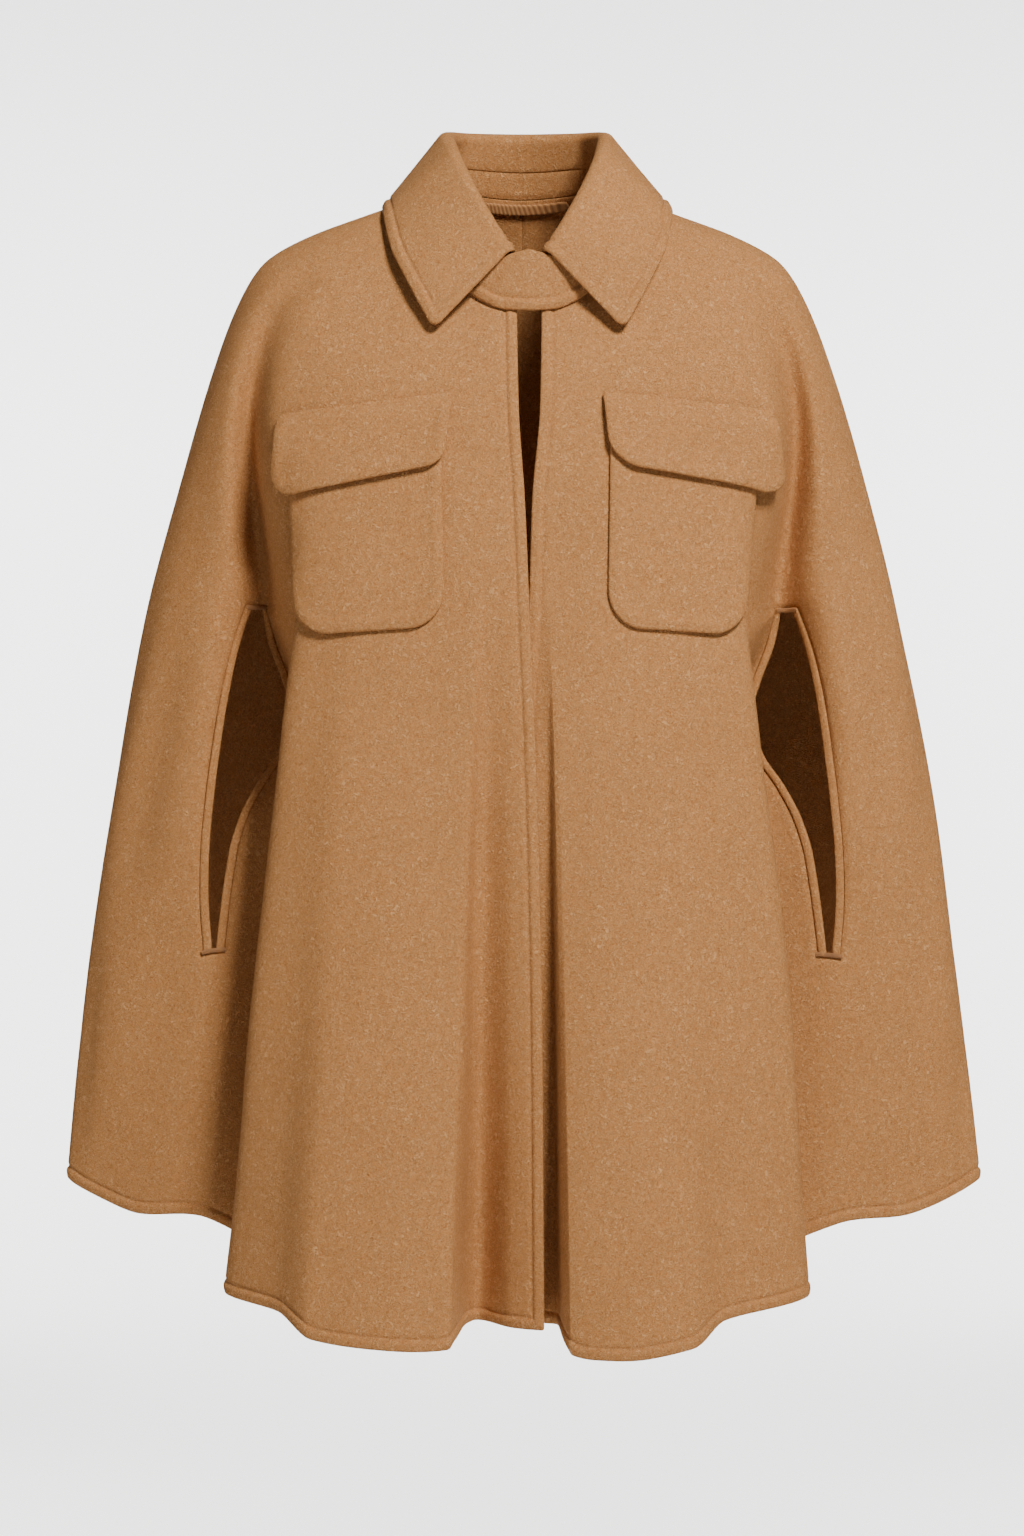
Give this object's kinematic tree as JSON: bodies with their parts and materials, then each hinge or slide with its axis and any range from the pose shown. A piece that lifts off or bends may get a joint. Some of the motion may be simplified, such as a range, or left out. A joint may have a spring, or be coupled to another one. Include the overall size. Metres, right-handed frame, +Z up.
{
  "type": "cape",
  "caption": "Hip-length wool cape, worn and hollow, with a pointed shirt collar, a throat tab, bound arm slits, and rounded patch pockets with flaps.",
  "frame": {"origin": "centre of the neck at shoulder height, where the wearer holds the cape up", "axes": "+X to the viewer's right, which is the wearer's left; +Y from the front towards the back; +Z up"},
  "size_m": [0.747, 0.3989, 0.9765],
  "materials": {
    "wool": "matt felted double-faced wool coating, camel",
    "tape": "matt woven tape, camel"
  },
  "bodies": {
    "root": {"front_right": "wool", "front_left": "wool", "back_right": "wool", "back_left": "wool", "collar_leaf": "wool", "collar_stand": "wool", "throat_tab": "wool", "pocket_right": "wool", "pocket_left": "wool", "flap_right": "wool", "flap_left": "wool", "welt_front_right": "wool", "welt_back_right": "wool", "welt_front_left": "wool", "welt_back_left": "wool", "hanger_loop": "tape"}
  },
  "joints": []
}
